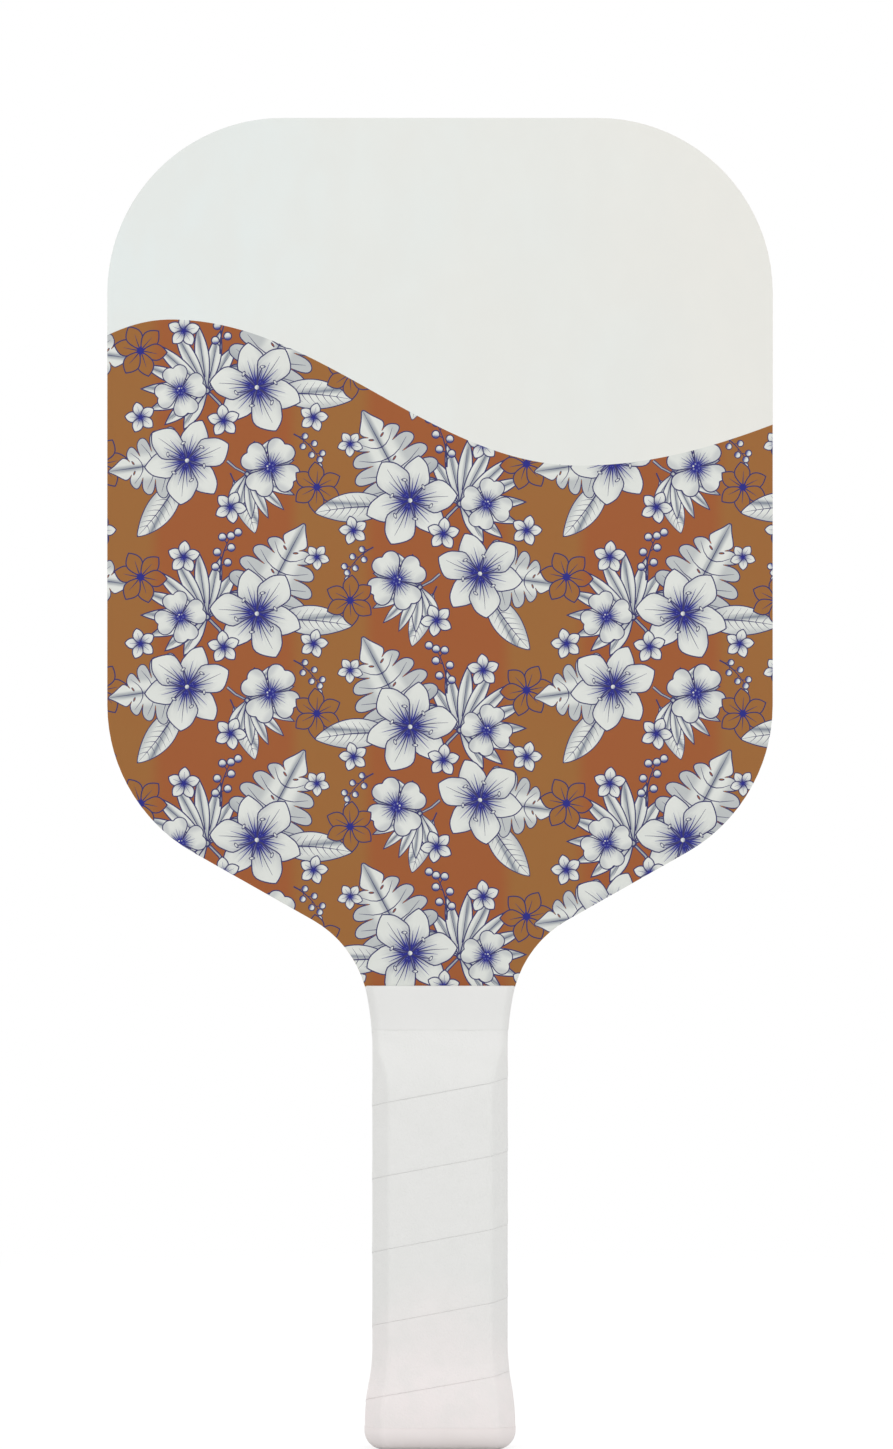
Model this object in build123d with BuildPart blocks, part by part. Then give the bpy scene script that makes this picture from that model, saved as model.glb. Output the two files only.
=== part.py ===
from build123d import *
import os
from math import asin, degrees, radians, sin, sqrt, tan

# Pickleball paddle: a one-piece seven-ply board with printed faces, two handle scales, a flared
# butt cap and a wound cushion grip. Millimetres. The origin is the middle of the butt, +Z runs up
# the handle to the head, the front looks towards -Y, and +X is to the right seen from the front.

# Outline of the blade, front view
paddle_length = 400.0
blade_width = 200.0
top_corner_radius = 52.6
lower_corner_radius = 51.0
shoulder_angle = 29.5  # slope of the shoulders below the horizontal
throat_radius = 33.0
ease_radius = 77.0  # slower arc between the straight handle and the throat
ease_angle = 12.0  # part of the turn that the slower arc makes
edge_softening = 0.3

# Layers of the board
face_veneer = 0.8
inner_veneer = 1.6
print_film = 0.2

# Handle, measured outside the grip
grip_length = 139.0  # from the butt to the straight line where the print ends
handle_width = 40.9
handle_thickness = 24.0
handle_bevel = 5.0  # each corner bevel, measured along the flat that it cuts
throat_rise = 18.0  # the handle starts to widen this far below the grip's top
collar_height = 9.0  # straight top band of the grip
ramp_height = 24.0  # length over which the scales thin out towards the board
scale_lip = 0.6  # thickness of a scale at its top end

# Layers of the grip
wrap_thickness = 1.8
base_tape_thickness = 0.2
finishing_tape_thickness = 0.15
finishing_tape_width = 13.0

# Butt
flare = 2.25  # how far the butt stands out from the straight handle, all round
butt_corner_radius = 6.0
rim_height = 7.0  # bare rim of the cap, on which the grip strip starts
flare_start = 8.0
flare_end = 31.0  # also the top of the cap's skirt
cap_wall = 1.2
cap_floor = 4.0
cap_end_clearance = 0.2
plug_length = 24.0
plug_width = 9.0
plug_thickness = 1.5
plug_recess = 0.2  # how far the plug lies above the cap's end face

# Fasteners
brad_diameter = 1.6
brad_depth_below_surface = 0.5
brad_above_cap = 21.0  # from the cap's skirt up to the lower pair
brad_below_ramp = 8.0  # from the ramp down to the upper pair
brad_spacing = 18.0
tack_head_diameter = 4.0
tack_head_thickness = 0.5
tack_shank_diameter = 1.2
tack_shank_length = 5.2
tack_height = 20.0
tack_sink = 0.3
staple_width = 8.0
staple_wire = 0.6
staple_leg = 2.4
staple_height = 12.0
staple_clearance = 0.1

# Sizes that follow
butt_width = handle_width + 2 * flare
grip_wall = wrap_thickness + base_tape_thickness
board_thickness = 2 * face_veneer + 5 * inner_veneer
collar_thickness = board_thickness + 2 * (scale_lip + grip_wall)
throat_start = grip_length - throat_rise
ramp_end = grip_length - collar_height
ramp_start = ramp_end - ramp_height
core_end = cap_floor + cap_end_clearance
core_thickness = handle_thickness - 2 * grip_wall
tack_seat = handle_thickness / 2 - wrap_thickness - tack_sink  # outer face of a tack's head
staple_seat = handle_thickness / 2 + flare - wrap_thickness  # underside of the staple's crown
bevel_distance = (handle_width / 2 + handle_thickness / 2 - handle_bevel) / sqrt(2)


def narrow(start, drop, rise, inset):
    """Carry an upright edge inwards by drop with two tangent arcs, and return the second one."""
    both_radii = (rise**2 + drop**2) / (2 * drop)
    turn = degrees(asin(rise / both_radii))
    bend_in = JernArc(start, (0, 1), both_radii / 2 - inset, turn)
    return JernArc(bend_in @ 1, bend_in % 1, both_radii / 2 + inset, -turn)


def handle_edge(half, flare_drop, inset):
    """Draw the foot of a half view and its edge up to the straight handle, and return the last line."""
    if flare_drop == 0:
        return Line((0, 0), (half - inset, 0))
    foot_half = half + flare_drop - inset
    foot = Line((0, 0), (foot_half, 0))
    rim = Line(foot @ 1, (foot_half, flare_start))
    return narrow(rim @ 1, flare_drop, flare_end - flare_start, inset)


def front_view(inset=0.0, flare_drop=0.0):
    """Front outline of the whole paddle, drawn that far inside its edge."""
    corner_half = blade_width / 2 - lower_corner_radius
    corner_reach = (lower_corner_radius - inset) * sin(radians(shoulder_angle))
    with BuildSketch(Plane.XZ) as view:
        with BuildLine():
            foot = handle_edge(handle_width / 2, flare_drop, inset)
            side = Line(foot @ 1, (handle_width / 2 - inset, throat_start))
            ease = JernArc(side @ 1, side % 1, ease_radius + inset, -ease_angle)
            throat_turn = 90 - shoulder_angle - ease_angle
            throat = JernArc(ease @ 1, ease % 1, throat_radius + inset, -throat_turn)
            run = corner_half + corner_reach - (throat @ 1).X
            rise = run * tan(radians(shoulder_angle))
            shoulder = Line(throat @ 1, (throat @ 1) + Vector(run, rise))
            corner = JernArc(shoulder @ 1, shoulder % 1, lower_corner_radius - inset, 90 - shoulder_angle)
            edge = Line(corner @ 1, ((corner @ 1).X, paddle_length - top_corner_radius))
            top_corner = JernArc(edge @ 1, edge % 1, top_corner_radius - inset, 90)
            top = Line(top_corner @ 1, (0, paddle_length - inset))
            Line(top @ 1, (0, 0))
        make_face()
        mirror(about=Plane.YZ)
    return view.sketch


def bar_view(plane, half, flare_drop, ramp_drop, inset):
    """Outline of the handle in an upright plane, from the butt to the grip's top."""
    with BuildSketch(plane) as view:
        with BuildLine():
            foot = handle_edge(half, flare_drop, inset)
            side = Line(foot @ 1, (half - inset, ramp_start))
            if ramp_drop > 0:
                side = narrow(side @ 1, ramp_drop, ramp_height, inset)
            collar = Line(side @ 1, ((side @ 1).X, grip_length))
            top = Line(collar @ 1, (0, grip_length))
            Line(top @ 1, (0, 0))
        make_face()
        mirror(about=Plane.YZ)
    return view.sketch


def handle_form(inset, flared):
    """Eight-sided solid of the handle's outside, drawn that far inside it."""
    side_flare = flare if flared else 0.0
    ramp_drop = (handle_thickness - collar_thickness) / 2
    with BuildPart() as form:
        extrude(front_view(inset, side_flare), amount=butt_width, both=True)
        side_view = bar_view(Plane.YZ, handle_thickness / 2, side_flare, ramp_drop, inset)
        extrude(side_view, amount=blade_width, both=True, mode=Mode.INTERSECT)
        for slant in (1, -1):
            bevel_plane = Plane(origin=(0, 0, 0), x_dir=(1, slant, 0), z_dir=(slant, -1, 0))
            bevel_view = bar_view(bevel_plane, bevel_distance, side_flare * sqrt(2), 0, inset)
            extrude(bevel_view, amount=blade_width, both=True, mode=Mode.INTERSECT)
    return form.part


def keep_between(low, high):
    """Cut the part in work to what lies between two heights."""
    with Locations((0, 0, (low + high) / 2)):
        Box(2 * blade_width, 2 * blade_width, high - low, mode=Mode.INTERSECT)


def keep_layer(front, thickness):
    """Cut the part in work to one layer, whose front face lies that far in front of the middle."""
    with Locations((0, thickness / 2 - front, paddle_length / 2)):
        Box(2 * blade_width, thickness, 2 * paddle_length, mode=Mode.INTERSECT)


def facing_plane(side, distance, height):
    """Plane that looks out of the front (side 1) or the rear (side -1), that far from the middle."""
    return Plane(origin=(0, -side * distance, height), x_dir=(side, 0, 0), z_dir=(0, -side, 0))


def write_node(part, name):
    """Label a finished piece and write it as its own file."""
    part.label = name
    export_step(part, f"parts/{name}.step")


os.makedirs("parts", exist_ok=True)

# Blade outlines above the grip: the board's, and the film's, which stops where the edge turns
with BuildSketch(Plane.XZ) as blade_outline:
    add(front_view())
    with Locations((0, grip_length / 2)):
        Rectangle(blade_width, grip_length, mode=Mode.SUBTRACT)

with BuildSketch(Plane.XZ) as film_outline:
    add(front_view(edge_softening))
    with Locations((0, grip_length / 2)):
        Rectangle(blade_width, grip_length, mode=Mode.SUBTRACT)

# Wooden core of the handle: the tongue and the scales are glued up and shaped as one, and its
# lower end is rebated for the cap's skirt
with BuildPart() as tongue_upper:
    add(handle_form(grip_wall, flared=False))
    keep_between(flare_end, grip_length)

with BuildPart() as handle_core:
    add(handle_form(grip_wall + cap_wall, flared=False))
    keep_between(core_end, flare_end)
    add(tongue_upper.part)

# Four brads through scales and tongue
brad_length = core_thickness - 2 * brad_depth_below_surface
with BuildPart() as handle_brads:
    for height in (flare_end + brad_above_cap, ramp_start - brad_below_ramp):
        with BuildSketch(facing_plane(1, -brad_length / 2, height)):
            with GridLocations(brad_spacing, 1, 2, 1):
                Circle(brad_diameter / 2)
        extrude(amount=brad_length)
write_node(handle_brads.part, "handle_brads")

# Two tacks through the cap's skirt, one at the front and one at the back
with BuildPart() as butt_cap_tacks:
    for side in (1, -1):
        with BuildSketch(facing_plane(side, tack_seat, tack_height)):
            Circle(tack_head_diameter / 2)
        extrude(amount=-tack_head_thickness)
        with BuildSketch(facing_plane(side, tack_seat - tack_head_thickness, tack_height)):
            Circle(tack_shank_diameter / 2)
        extrude(amount=-tack_shank_length)
write_node(butt_cap_tacks.part, "butt_cap_tacks")

# Staple that holds the start of the grip strip to the cap's skirt, at the front
with BuildPart() as grip_start_staple:
    with BuildSketch(facing_plane(1, staple_seat, staple_height)):
        Rectangle(staple_width, staple_wire)
    extrude(amount=staple_wire)
    with BuildSketch(facing_plane(1, staple_seat, staple_height)):
        with GridLocations(staple_width - staple_wire, 1, 2, 1):
            Rectangle(staple_wire, staple_wire)
    extrude(amount=-staple_leg)
write_node(grip_start_staple.part, "grip_start_staple")

# Seven veneers of the board, from the front face to the rear face
plies = (
    ("front_face_veneer", face_veneer),
    ("front_crossband", inner_veneer),
    ("front_inner_ply", inner_veneer),
    ("core_ply", inner_veneer),
    ("rear_inner_ply", inner_veneer),
    ("rear_crossband", inner_veneer),
    ("rear_face_veneer", face_veneer),
)
layer_front = board_thickness / 2
for ply_name, ply_thickness in plies:
    with BuildPart() as ply:
        add(handle_core.part)
        keep_layer(layer_front, ply_thickness)
        add(handle_brads.part, mode=Mode.SUBTRACT)
        add(butt_cap_tacks.part, mode=Mode.SUBTRACT)
        with BuildSketch(facing_plane(1, layer_front, 0)):
            add(blade_outline.sketch_local)
        extrude(amount=-ply_thickness)
        if ply_thickness == face_veneer:
            outer_group = 0 if layer_front > 0 else -1
            outer_edges = ply.edges().group_by(Axis.Y)[outer_group]
            fillet(outer_edges.filter_by_position(Axis.Z, grip_length + 1, paddle_length + 1), edge_softening)
    write_node(ply.part, ply_name)
    layer_front -= ply_thickness

# Printed films on both faces
for film_name, film_front in (
    ("front_print_film", board_thickness / 2 + print_film),
    ("rear_print_film", -board_thickness / 2),
):
    with BuildPart() as film:
        with BuildSketch(facing_plane(1, film_front, 0)):
            add(film_outline.sketch_local)
        extrude(amount=-print_film)
    write_node(film.part, film_name)

# Handle scales: what the shaped core has outside the board
scale_depth = (core_thickness - board_thickness) / 2
for scale_name, scale_front in (
    ("front_handle_scale", core_thickness / 2),
    ("rear_handle_scale", -board_thickness / 2),
):
    with BuildPart() as scale:
        add(handle_core.part)
        keep_layer(scale_front, scale_depth)
        add(handle_brads.part, mode=Mode.SUBTRACT)
        add(butt_cap_tacks.part, mode=Mode.SUBTRACT)
    write_node(scale.part, scale_name)

# Butt cap: a rim at full width, and above it a skirt under the grip strip
with BuildPart() as cap_rim:
    add(handle_form(0, flared=True))
    keep_between(0, rim_height)
    fillet(cap_rim.faces().sort_by(Axis.Z)[0].edges(), butt_corner_radius)

with BuildPart() as cap_skirt:
    add(handle_form(wrap_thickness, flared=True))
    keep_between(rim_height, flare_end)

with BuildPart() as cap_pocket:
    add(handle_form(grip_wall + cap_wall, flared=False))
    keep_between(cap_floor, flare_end)

with BuildPart() as butt_cap:
    add(cap_rim.part)
    add(cap_skirt.part)
    add(cap_pocket.part, mode=Mode.SUBTRACT)
    add(butt_cap_tacks.part, mode=Mode.SUBTRACT)
    add(grip_start_staple.part, mode=Mode.SUBTRACT)
    with BuildSketch(Plane.XY):
        SlotOverall(plug_length, plug_width)
    extrude(amount=plug_recess + plug_thickness, mode=Mode.SUBTRACT)
write_node(butt_cap.part, "butt_cap")

# Blank plug in the cap's end
with BuildPart() as butt_cap_plug:
    with BuildSketch(Plane.XY.offset(plug_recess)):
        SlotOverall(plug_length, plug_width)
    extrude(amount=plug_thickness)
write_node(butt_cap_plug.part, "butt_cap_plug")

# Double-sided tape between the core and the grip strip
with BuildPart() as grip_base_tape:
    add(handle_form(wrap_thickness, flared=False))
    add(handle_form(grip_wall, flared=False), mode=Mode.SUBTRACT)
    keep_between(flare_end, grip_length)
write_node(grip_base_tape.part, "grip_base_tape")

# Band that holds the strip's end at the throat, flush with the grip's outside
with BuildPart() as finishing_tape:
    add(handle_form(0, flared=True))
    add(handle_form(finishing_tape_thickness, flared=True), mode=Mode.SUBTRACT)
    keep_between(grip_length - finishing_tape_width, grip_length)
write_node(finishing_tape.part, "finishing_tape")

# Cushion grip strip, as the sleeve that it makes once it is wound
with BuildPart() as staple_pocket:
    with BuildSketch(facing_plane(1, staple_seat, staple_height)):
        Rectangle(staple_width + 2 * staple_clearance, staple_wire + 2 * staple_clearance)
    extrude(amount=staple_wire + staple_clearance)

with BuildPart() as grip_wrap:
    add(handle_form(0, flared=True))
    add(handle_form(wrap_thickness, flared=True), mode=Mode.SUBTRACT)
    keep_between(rim_height, grip_length)
    add(finishing_tape.part, mode=Mode.SUBTRACT)
    add(staple_pocket.part, mode=Mode.SUBTRACT)
    add(grip_start_staple.part, mode=Mode.SUBTRACT)
write_node(grip_wrap.part, "grip_wrap")
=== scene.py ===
"""Finish of a wooden pickleball paddle: printed faces, laminated edge, wound grip and butt cap.

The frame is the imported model, in metres: +Z runs from the butt up to the head, and the front looks to -Y.
The print is drawn in millimetres on the front's own plane, as complex numbers: real is X and imaginary is Z.
"""

import cmath
import math

import bpy
import numpy as np
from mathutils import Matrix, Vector
from mathutils.geometry import delaunay_2d_cdt


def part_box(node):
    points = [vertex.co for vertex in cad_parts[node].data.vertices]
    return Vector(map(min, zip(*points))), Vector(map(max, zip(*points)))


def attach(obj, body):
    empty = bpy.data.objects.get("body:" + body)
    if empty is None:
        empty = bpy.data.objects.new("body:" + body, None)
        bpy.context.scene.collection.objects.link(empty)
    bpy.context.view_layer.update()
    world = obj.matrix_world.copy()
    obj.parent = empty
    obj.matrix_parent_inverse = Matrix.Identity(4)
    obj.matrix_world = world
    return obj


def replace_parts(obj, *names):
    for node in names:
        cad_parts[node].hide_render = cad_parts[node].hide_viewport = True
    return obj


MM = 0.001
BODY = "root"
AXES = "XYZ"

# Every length below is in millimetres, apart from the lamps' and the floor's, which are in metres
SHARP_FROM = 40.0  # degrees between two faces from which their edge stays sharp
FLAT_WITHIN = 0.001
DECIMALS = 4  # to which the corners of loose triangles are rounded, so that they meet

# Print: a half-drop repeat of bouquets on soft upright stripes, under a wavy upper edge
CREST_X = -81.0
TROUGH_X = 42.0
CREST_BELOW_TOP = 60.3
TROUGH_BELOW_TOP = 104.2
LEFT_HALF_WAVE = 89.0
RIGHT_HALF_WAVE = 163.0
WAVE_STEP = 2.0
TILE_WIDTH = 64.0
TILE_HEIGHT = 68.0
OUTLINE_WIDTH = 0.36
INK_THICKNESS = 0.015
TIP_CROWDING = 1.35  # how much closer an outline's points are towards its tip
LEAST_MITER = 0.5
SAME_POINT = 1e-5  # distance within which two points of the print become one
CORNER_GAP = 0.01  # between two corners of one ink that would only touch
FILM_OVERHANG = 0.27  # past the veneer's flat face, over its softened edge

# Grip: a strip wound up the handle, each turn's lower edge lying on the turn below
SLEEVE_CORNER = 2.6
LEAST_BEVEL = 0.6
SLICE_MARGIN = 0.01  # of the lowest and highest slices of the form from its ends
SLEEVE_STEP = 1.5
CORNER_STEPS = 4
FLAT_STEP = 4.0
TUCK = 0.02  # how far a layer goes past the inner skin of the one that covers it
PRESS_START = 0.1  # from the finishing tape's lower edge up to where the strip is first pressed in
STRIP = {
    "Pitch": 22.0,
    "Overlap": 3.0,
    "Wall": 1.75,
    "Rows": 12,
    "Row Easing": 1.8,  # how much closer the rows are towards the strip's lower edge
    "Edge Height": 0.12,
    "Edge Length": 7.0,
    "Rounding": 0.06,
    "Rounding Length": 0.4,
    "Tuck": TUCK,
    "Tuck Length": 0.5,
    "Resting Length": 1.5,
    "Tape Slope": 0.4,
    "Merging": 0.002,
}

# Finishing tape: its free end lies over its start, and its top edge turns in to the board
TAPE_THICKNESS = 0.15
TAPE_ROUND = 0.06
TAPE_ROWS = (0.15, 0.3, 0.45, 0.6, 0.75, 0.9)  # shares of its height
TAPE_OVERLAP = 2  # columns of the form that the free end covers again
FREE_END_PRESSED = 0.6  # share of the thickness
LIP_GAP = 0.03
LIP_CORNER = 0.4

# Butt cap: bare rim, shoulder under the grip strip, and a skirt inside it
WRAP_THICKNESS = 1.8
CAP_WALL = 1.2
CAP_FLOOR = 4.0
SLOT_FLAT = 0.3  # half of what stays straight at each end of the plug's slot
RIM_ROWS = 12
SKIRT_ROWS = (0.0, 0.1, 0.3, 0.5, 0.7, 0.9, 1.0)  # shares of the skirt's height
SEAT_ROWS = (1.0, 0.8, 0.6, 0.4, 0.2, 0.0)  # shares of the inside's height

# Stage
CAMERA_LENS = 200.0
CAMERA_SENSOR = 36.0
VIEW_HEIGHT = 435.4
VIEW_CENTRE_X = 1.95
VIEW_CENTRE_Z = 217.7
AMBIENT = 0.70
LAMP_SIZE = 1.8
KEY_POWER = 17.5
FILL_POWER = 11.0
FLOOR_RADIUS = 3.0
FLOOR_CORNERS = 96

PETAL, LEAF, LINE, VEIN, GROUND = range(5)


# Nodes


class Value:
    """One output of a node. Arithmetic on it adds math nodes to the same tree."""

    def __init__(self, socket):
        self.socket = socket
        self.tree = socket.id_data

    def math(self, operation, other=0.0):
        return one_output(self.tree, "ShaderNodeMath", 0, {0: self, 1: other}, operation=operation)

    def __add__(self, other):
        return self.math("ADD", other)

    def __sub__(self, other):
        return self.math("SUBTRACT", other)

    def __mul__(self, other):
        return self.math("MULTIPLY", other)

    def __truediv__(self, other):
        return self.math("DIVIDE", other)

    def __neg__(self):
        return self * -1.0

    def __abs__(self):
        return self.math("ABSOLUTE")

    def smooth(self, start, end, low=0.0, high=1.0):
        """Carried smoothly from low where this is start to high where it is end, and held outside them."""
        inputs = {"Value": self, "From Min": start, "From Max": end, "To Min": low, "To Max": high}
        kind = "ShaderNodeMapRange"
        return one_output(self.tree, kind, "Result", inputs, interpolation_type="SMOOTHSTEP")

    def blend(self, first, second):
        """Colour between two, which are RGBA values or outputs, where this is the share of the second."""
        inputs = {0: self, 6: first, 7: second}
        return one_output(self.tree, "ShaderNodeMix", 2, inputs, data_type="RGBA")


def put(tree, socket, value):
    """Link an input to an output, or set it to a plain value."""
    if isinstance(value, Value):
        tree.links.new(value.socket, socket)
    else:
        socket.default_value = value


def add_node(tree, kind, inputs=None, **settings):
    """One node. Its settings are plain properties, and an input is a plain value or a node's output."""
    node = tree.nodes.new(kind)
    for name, value in settings.items():
        setattr(node, name, value)
    for socket, value in (inputs or {}).items():
        put(tree, node.inputs[socket], value)
    return node


def one_output(tree, kind, output, inputs=None, **settings):
    """A new node's output, by its name or number."""
    return Value(add_node(tree, kind, inputs, **settings).outputs[output])


def split(tree, vector):
    """The three parts of a vector."""
    return [Value(part) for part in add_node(tree, "ShaderNodeSeparateXYZ", {0: vector}).outputs]


def srgb(red, green, blue):
    """Linear RGBA of a colour given in 0 to 255 steps."""
    linear = []
    for value in (red, green, blue):
        share = value / 255
        linear.append(share / 12.92 if share <= 0.04045 else ((share + 0.055) / 1.055) ** 2.4)
    return (*linear, 1.0)


class Finish:
    """A material being made. Its place is where a point lies on the object, in metres."""

    def __init__(self, name):
        self.material = bpy.data.materials.new(name)
        self.material.use_nodes = True
        self.tree = self.material.node_tree
        self.shader = self.tree.nodes["Principled BSDF"]
        self.place = self.node("ShaderNodeTexCoord", "Object")

    def node(self, kind, output, inputs=None, **settings):
        return one_output(self.tree, kind, output, inputs, **settings)

    def along(self, axis):
        """How far along X, Y or Z a point lies, in metres."""
        return split(self.tree, self.place)[AXES.index(axis)]

    def set(self, **sockets):
        """Link or set the shader's inputs, by their names with _ for spaces."""
        for name, value in sockets.items():
            put(self.tree, self.shader.inputs[name.replace("_", " ")], value)

    def noise(self, scale, detail=2.0, stretch=(1.0, 1.0, 1.0), roughness=0.5, at=None):
        """Noise from 0 to 1, with scale in features per metre and its own stretch."""
        spot = self.node("ShaderNodeMapping", "Vector", {"Vector": at or self.place, "Scale": stretch})
        inputs = {"Vector": spot, "Scale": scale, "Detail": detail, "Roughness": roughness}
        return self.node("ShaderNodeTexNoise", "Fac", inputs)

    def bumped(self, height, strength, depth_mm):
        """Normal of a surface whose relief has that height from 0 to 1, times a depth in millimetres."""
        inputs = {"Strength": strength, "Distance": depth_mm * MM, "Height": height}
        return self.node("ShaderNodeBump", "Normal", inputs)


# Materials


def satin(finish):
    """Satin clear coat over ink: fine orange peel, and the wood's grain telegraphing faintly through."""
    relief = finish.noise(700) + finish.noise(260, 3.0, (1.0, 1.0, 0.05)) * 1.5
    finish.set(
        Roughness=finish.noise(35, 3.0).smooth(0.2, 0.8, 0.42, 0.52),
        Normal=finish.bumped(relief, 0.35, 0.02),
        Specular_IOR_Level=0.25,
    )
    return finish.material


def film_material():
    """Printed white of the film: barely mottled, cooler to the left and warmer to the right."""
    finish = Finish("print_white")
    drift = finish.along("X") * 4.0 + finish.noise(14, 3.0)
    base = drift.smooth(0.0, 1.0).blend(srgb(226, 232, 230), srgb(231, 230, 224))
    cloud = finish.noise(90, 4.0, (1.0, 1.0, 0.6)).smooth(0.3, 0.7, 0.0, 0.35)
    finish.set(Base_Color=cloud.blend(base, srgb(226, 226, 221)))
    return satin(finish)


def ground_material():
    """Rust ground with soft upright ochre stripes between the columns of bouquets."""
    finish = Finish("ground_ink")
    column = (finish.along("X") + finish.noise(12) * 0.0015) / (TILE_WIDTH * MM)
    stripe = abs(column.math("FRACT") - 0.5).smooth(0.22, 0.13)
    base = stripe.blend(srgb(155, 86, 43), srgb(152, 101, 49))
    wash = finish.noise(45, 5.0).smooth(0.3, 0.75, 0.0, 0.22)
    finish.set(Base_Color=wash.blend(base, srgb(154, 92, 46)))
    return satin(finish)


def bloom(finish):
    """Distance from a shape's middle line and share of its length, streaks along it, and its white."""
    shape = finish.node("ShaderNodeUVMap", "UV", uv_map="bloom")
    across, along, _ = split(finish.tree, shape)
    streaks = finish.noise(16, 3.0, (1.6, 0.12, 1.0), at=shape)
    white = finish.noise(120, 3.0).blend(srgb(226, 228, 223), srgb(214, 217, 212))
    return abs(across - 0.5), along, streaks, white


def leaf_material():
    """White leaf, airbrushed grey along its fold, at its root and at its rim."""
    finish = Finish("leaf_ink")
    across, along, streaks, white = bloom(finish)
    fold = across.smooth(0.07, 0.0) * streaks.smooth(0.25, 0.7, 0.35, 1.0)
    root = along.smooth(0.5, 0.0, 0.0, 0.75)
    rim = across.smooth(0.11, 0.22, 0.0, 0.45)
    shade = fold.math("MAXIMUM", root).math("MAXIMUM", rim)
    finish.set(Base_Color=shade.blend(white, srgb(132, 139, 150)))
    return satin(finish)


def petal_material():
    """White petal with a grey haze from its root and at its rim, and a blue glow at its heart."""
    finish = Finish("petal_ink")
    across, along, streaks, white = bloom(finish)
    reach = along + streaks * -0.45
    haze = reach.smooth(0.46, -0.02, 0.0, 0.9).math("MAXIMUM", across.smooth(0.16, 0.38, 0.0, 0.45))
    glow = reach.smooth(0.17, -0.10, 0.0, 0.9)
    base = haze.blend(white, srgb(163, 167, 175))
    finish.set(Base_Color=glow.blend(base, srgb(64, 70, 150)))
    return satin(finish)


def line_material(name, colour):
    """Drawn line-work: one ink, under the same clear coat as the rest."""
    finish = Finish(name)
    finish.set(Base_Color=colour)
    return satin(finish)


def wood_material(name, light, dark, end_grain, grain, phase):
    """Veneer whose grain runs along one axis: rings, fibres and pores, and a darker, stippled end grain."""
    finish = Finish(name)
    axis = AXES.index(grain)
    moved = {"Vector": finish.place, "Location": (phase, phase, phase)}
    spot = finish.node("ShaderNodeMapping", "Vector", moved)
    drawn, short = [1.0, 1.0, 1.0], [1.0, 1.0, 1.0]
    drawn[axis], short[axis] = 0.03, 0.06
    bands = finish.noise(170, 4.0, drawn, 0.6, at=spot).smooth(0.35, 0.7)
    fibres = finish.noise(1100, 3.0, drawn, 0.7, at=spot).smooth(0.4, 0.7)
    pores = finish.noise(2600, 2.0, short, at=spot).smooth(0.55, 0.72)
    base = (fibres * 0.35).blend(bands.blend(light, dark), dark)
    base = (pores * 0.4).blend(base, end_grain)
    normal = split(finish.tree, finish.node("ShaderNodeTexCoord", "Normal"))
    end = abs(normal[axis]).smooth(0.3, 0.95)
    growth = finish.noise(500, 3.0, (1.0, 1.0, 0.12), at=spot)
    dots = finish.noise(5200, 2.0, (1.0, 1.0, 0.6), at=spot)
    stipple = (growth + dots).smooth(0.75, 1.3, 0.25, 0.95)
    base = (end * stipple).blend(base, end_grain)
    finish.set(
        Base_Color=glue_line(finish).blend(base, srgb(150, 112, 72)),
        Roughness=pores.smooth(0.0, 1.0, 0.42, 0.60),
        Normal=finish.bumped(pores + fibres, 0.5, -0.03),
        Specular_IOR_Level=0.35,
        Coat_Weight=0.15,
        Coat_Roughness=0.3,
    )
    return finish.material


def glue_line(finish):
    """Share of dark glue at each joint between the board's plies, found from the distance to its middle."""
    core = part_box("core_ply")[1].y
    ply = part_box("rear_inner_ply")[1].y - core
    plies = (abs(finish.along("Y")) - core) / ply
    away = abs((plies + 0.5).math("FRACT") - 0.5)
    return away.smooth(0.05, 0.015, 0.0, 0.55)


def grip_material():
    """Soft off-white polyurethane, pebbled, a little worn and warmer towards the butt."""
    finish = Finish("grip_cushion")
    wander = (finish.noise(30, 3.0) - 0.5) * 0.05
    warm = (finish.along("Z") + wander).smooth(0.055, 0.005)
    base = warm.blend(srgb(233, 233, 231), srgb(245, 238, 237))
    soil = finish.noise(160, 5.0).smooth(0.35, 0.75, 0.0, 0.3)
    cells = {"Vector": finish.place, "Scale": 1500.0, "Smoothness": 0.35}
    beads = finish.node("ShaderNodeTexVoronoi", "Distance", cells, feature="SMOOTH_F1")
    relief = beads + finish.noise(2400) * 0.4
    finish.set(
        Base_Color=soil.blend(base, srgb(227, 228, 225)),
        Roughness=finish.noise(60, 3.0).smooth(0.3, 0.7, 0.56, 0.68),
        Normal=finish.bumped(relief, 0.45, -0.09),
        Specular_IOR_Level=0.35,
        Sheen_Weight=0.12,
        Sheen_Roughness=0.5,
    )
    return finish.material


def moulded_material(name, colour, shade, roughness):
    """Moulded plastic or vinyl tape: faint flow marks in the colour, and a fine spark-eroded texture."""
    finish = Finish(name)
    flow = finish.noise(50, 4.0, (1.0, 1.0, 0.5)).smooth(0.3, 0.75, 0.0, 0.8)
    finish.set(
        Base_Color=flow.blend(colour, shade),
        Roughness=finish.noise(400).smooth(0.3, 0.7, roughness - 0.05, roughness + 0.05),
        Normal=finish.bumped(finish.noise(1800), 0.3, 0.03),
        Specular_IOR_Level=0.4,
    )
    return finish.material


def steel_material():
    """Drawn and cut fastener steel, with faint scratches."""
    finish = Finish("fastener_steel")
    scratch = finish.noise(900, 4.0, (0.2, 1.0, 1.0))
    finish.set(
        Base_Color=scratch.blend(srgb(168, 170, 172), srgb(196, 197, 198)),
        Metallic=1.0,
        Roughness=scratch.smooth(0.2, 0.8, 0.26, 0.42),
        Normal=finish.bumped(scratch, 0.2, 0.02),
    )
    return finish.material


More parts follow.
